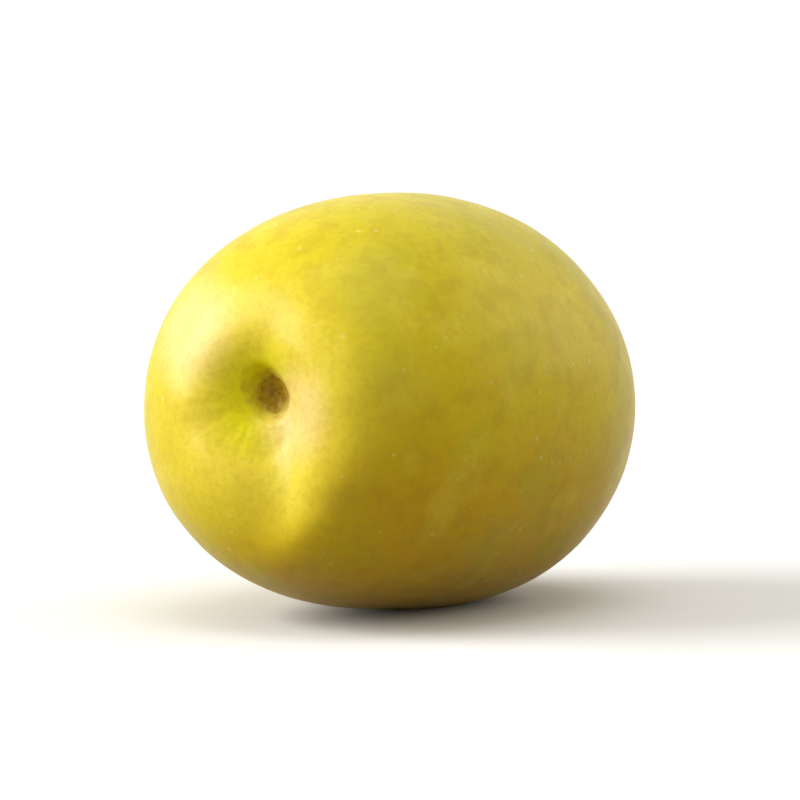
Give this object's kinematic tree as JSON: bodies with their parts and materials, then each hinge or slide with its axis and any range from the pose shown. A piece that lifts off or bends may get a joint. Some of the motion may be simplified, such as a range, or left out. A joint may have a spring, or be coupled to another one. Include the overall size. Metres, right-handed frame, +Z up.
{
  "type": "green olive",
  "caption": "Whole cured green table olive, oval with a dimpled stem end and a small pointed tip, for garnish, snack or pantry displays.",
  "frame": {"origin": "centre of the footprint on the surface that the fruit lies on", "axes": "+X along the fruit from the stem end to the tip, +Z up from the surface it lies on"},
  "size_m": [0.0254, 0.0194, 0.019],
  "materials": {
    "olive_skin": "smooth waxy fruit skin, yellow-green to khaki with golden and greener patches, fine pale specks and a thin wet sheen of brine"
  },
  "bodies": {
    "root": {"olive": "olive_skin"}
  },
  "joints": []
}
